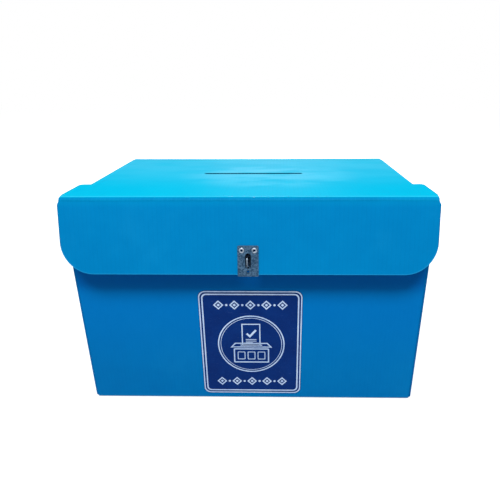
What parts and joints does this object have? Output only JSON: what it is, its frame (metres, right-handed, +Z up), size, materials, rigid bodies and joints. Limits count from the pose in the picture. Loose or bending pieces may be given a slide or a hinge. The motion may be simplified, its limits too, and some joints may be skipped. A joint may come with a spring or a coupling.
{
  "type": "ballot box",
  "caption": "Folded twin-wall plastic ballot box with a hinged slotted lid, a hanging front flap and a hasp over a staple.",
  "frame": {"origin": "middle of the base, on the surface that the box stands on, midway between the outer faces of its four walls", "axes": "+X to the right along the front, +Y from the front to the hinged back, +Z up; the front faces -Y"},
  "size_m": [0.43, 0.2633, 0.284],
  "materials": {
    "blue_sheet": "satin",
    "lid_sheet": "satin",
    "blue_fold": "satin",
    "zinc_plate": "satin",
    "bright_zinc": "satin",
    "label_print": "satin"
  },
  "bodies": {
    "root": {"front_panel": "blue_sheet", "back_panel": "blue_sheet", "left_panel": "blue_sheet", "right_panel": "blue_sheet", "front_left_fold": "blue_fold", "front_right_fold": "blue_fold", "back_right_fold": "blue_fold", "seam_fold": "blue_fold", "seam_flap": "blue_sheet", "bottom_panel": "blue_sheet", "bottom_front_fold": "blue_fold", "bottom_back_fold": "blue_fold", "bottom_tuck_flap": "blue_sheet", "left_dust_flap": "blue_sheet", "right_dust_flap": "blue_sheet", "left_dust_fold": "blue_fold", "right_dust_fold": "blue_fold", "left_rim": "blue_fold", "right_rim": "blue_fold", "left_hem": "blue_sheet", "right_hem": "blue_sheet", "lid_crease": "blue_fold", "staple": "bright_zinc", "staple_rivets": "bright_zinc", "staple_washers": "zinc_plate", "label": "label_print"},
    "lid": {"lid_panel": "lid_sheet", "flap_crease": "blue_fold", "left_tuck_crease": "blue_fold", "right_tuck_crease": "blue_fold"},
    "flap": {"front_flap": "blue_sheet", "hasp_plate": "zinc_plate", "hasp_rivets": "bright_zinc", "hasp_washers": "zinc_plate"},
    "left_tuck": {"left_tuck_flap": "blue_sheet"},
    "right_tuck": {"right_tuck_flap": "blue_sheet"}
  },
  "joints": [
    {"name": "lid_hinge", "type": "hinge", "parent": "root", "child": "lid", "pos_m": [0, 0.11864, 0.28314], "axis": [-1, 0, 0], "range_deg": [0, 230]},
    {"name": "flap_hinge", "type": "hinge", "parent": "lid", "child": "flap", "pos_m": [0, -0.12314, 0.28314], "axis": [-1, 0, 0], "range_deg": [-9.5, 160], "stiffness_Nm_per_rad": 0.3, "springref_deg": 0.69},
    {"name": "left_tuck_hinge", "type": "hinge", "parent": "lid", "child": "left_tuck", "pos_m": [-0.2005, 0.02525, 0.27965], "axis": [0, -1, 0], "range_deg": [0, 85]},
    {"name": "right_tuck_hinge", "type": "hinge", "parent": "lid", "child": "right_tuck", "pos_m": [0.2005, 0.02525, 0.27965], "axis": [0, 1, 0], "range_deg": [0, 85]}
  ]
}
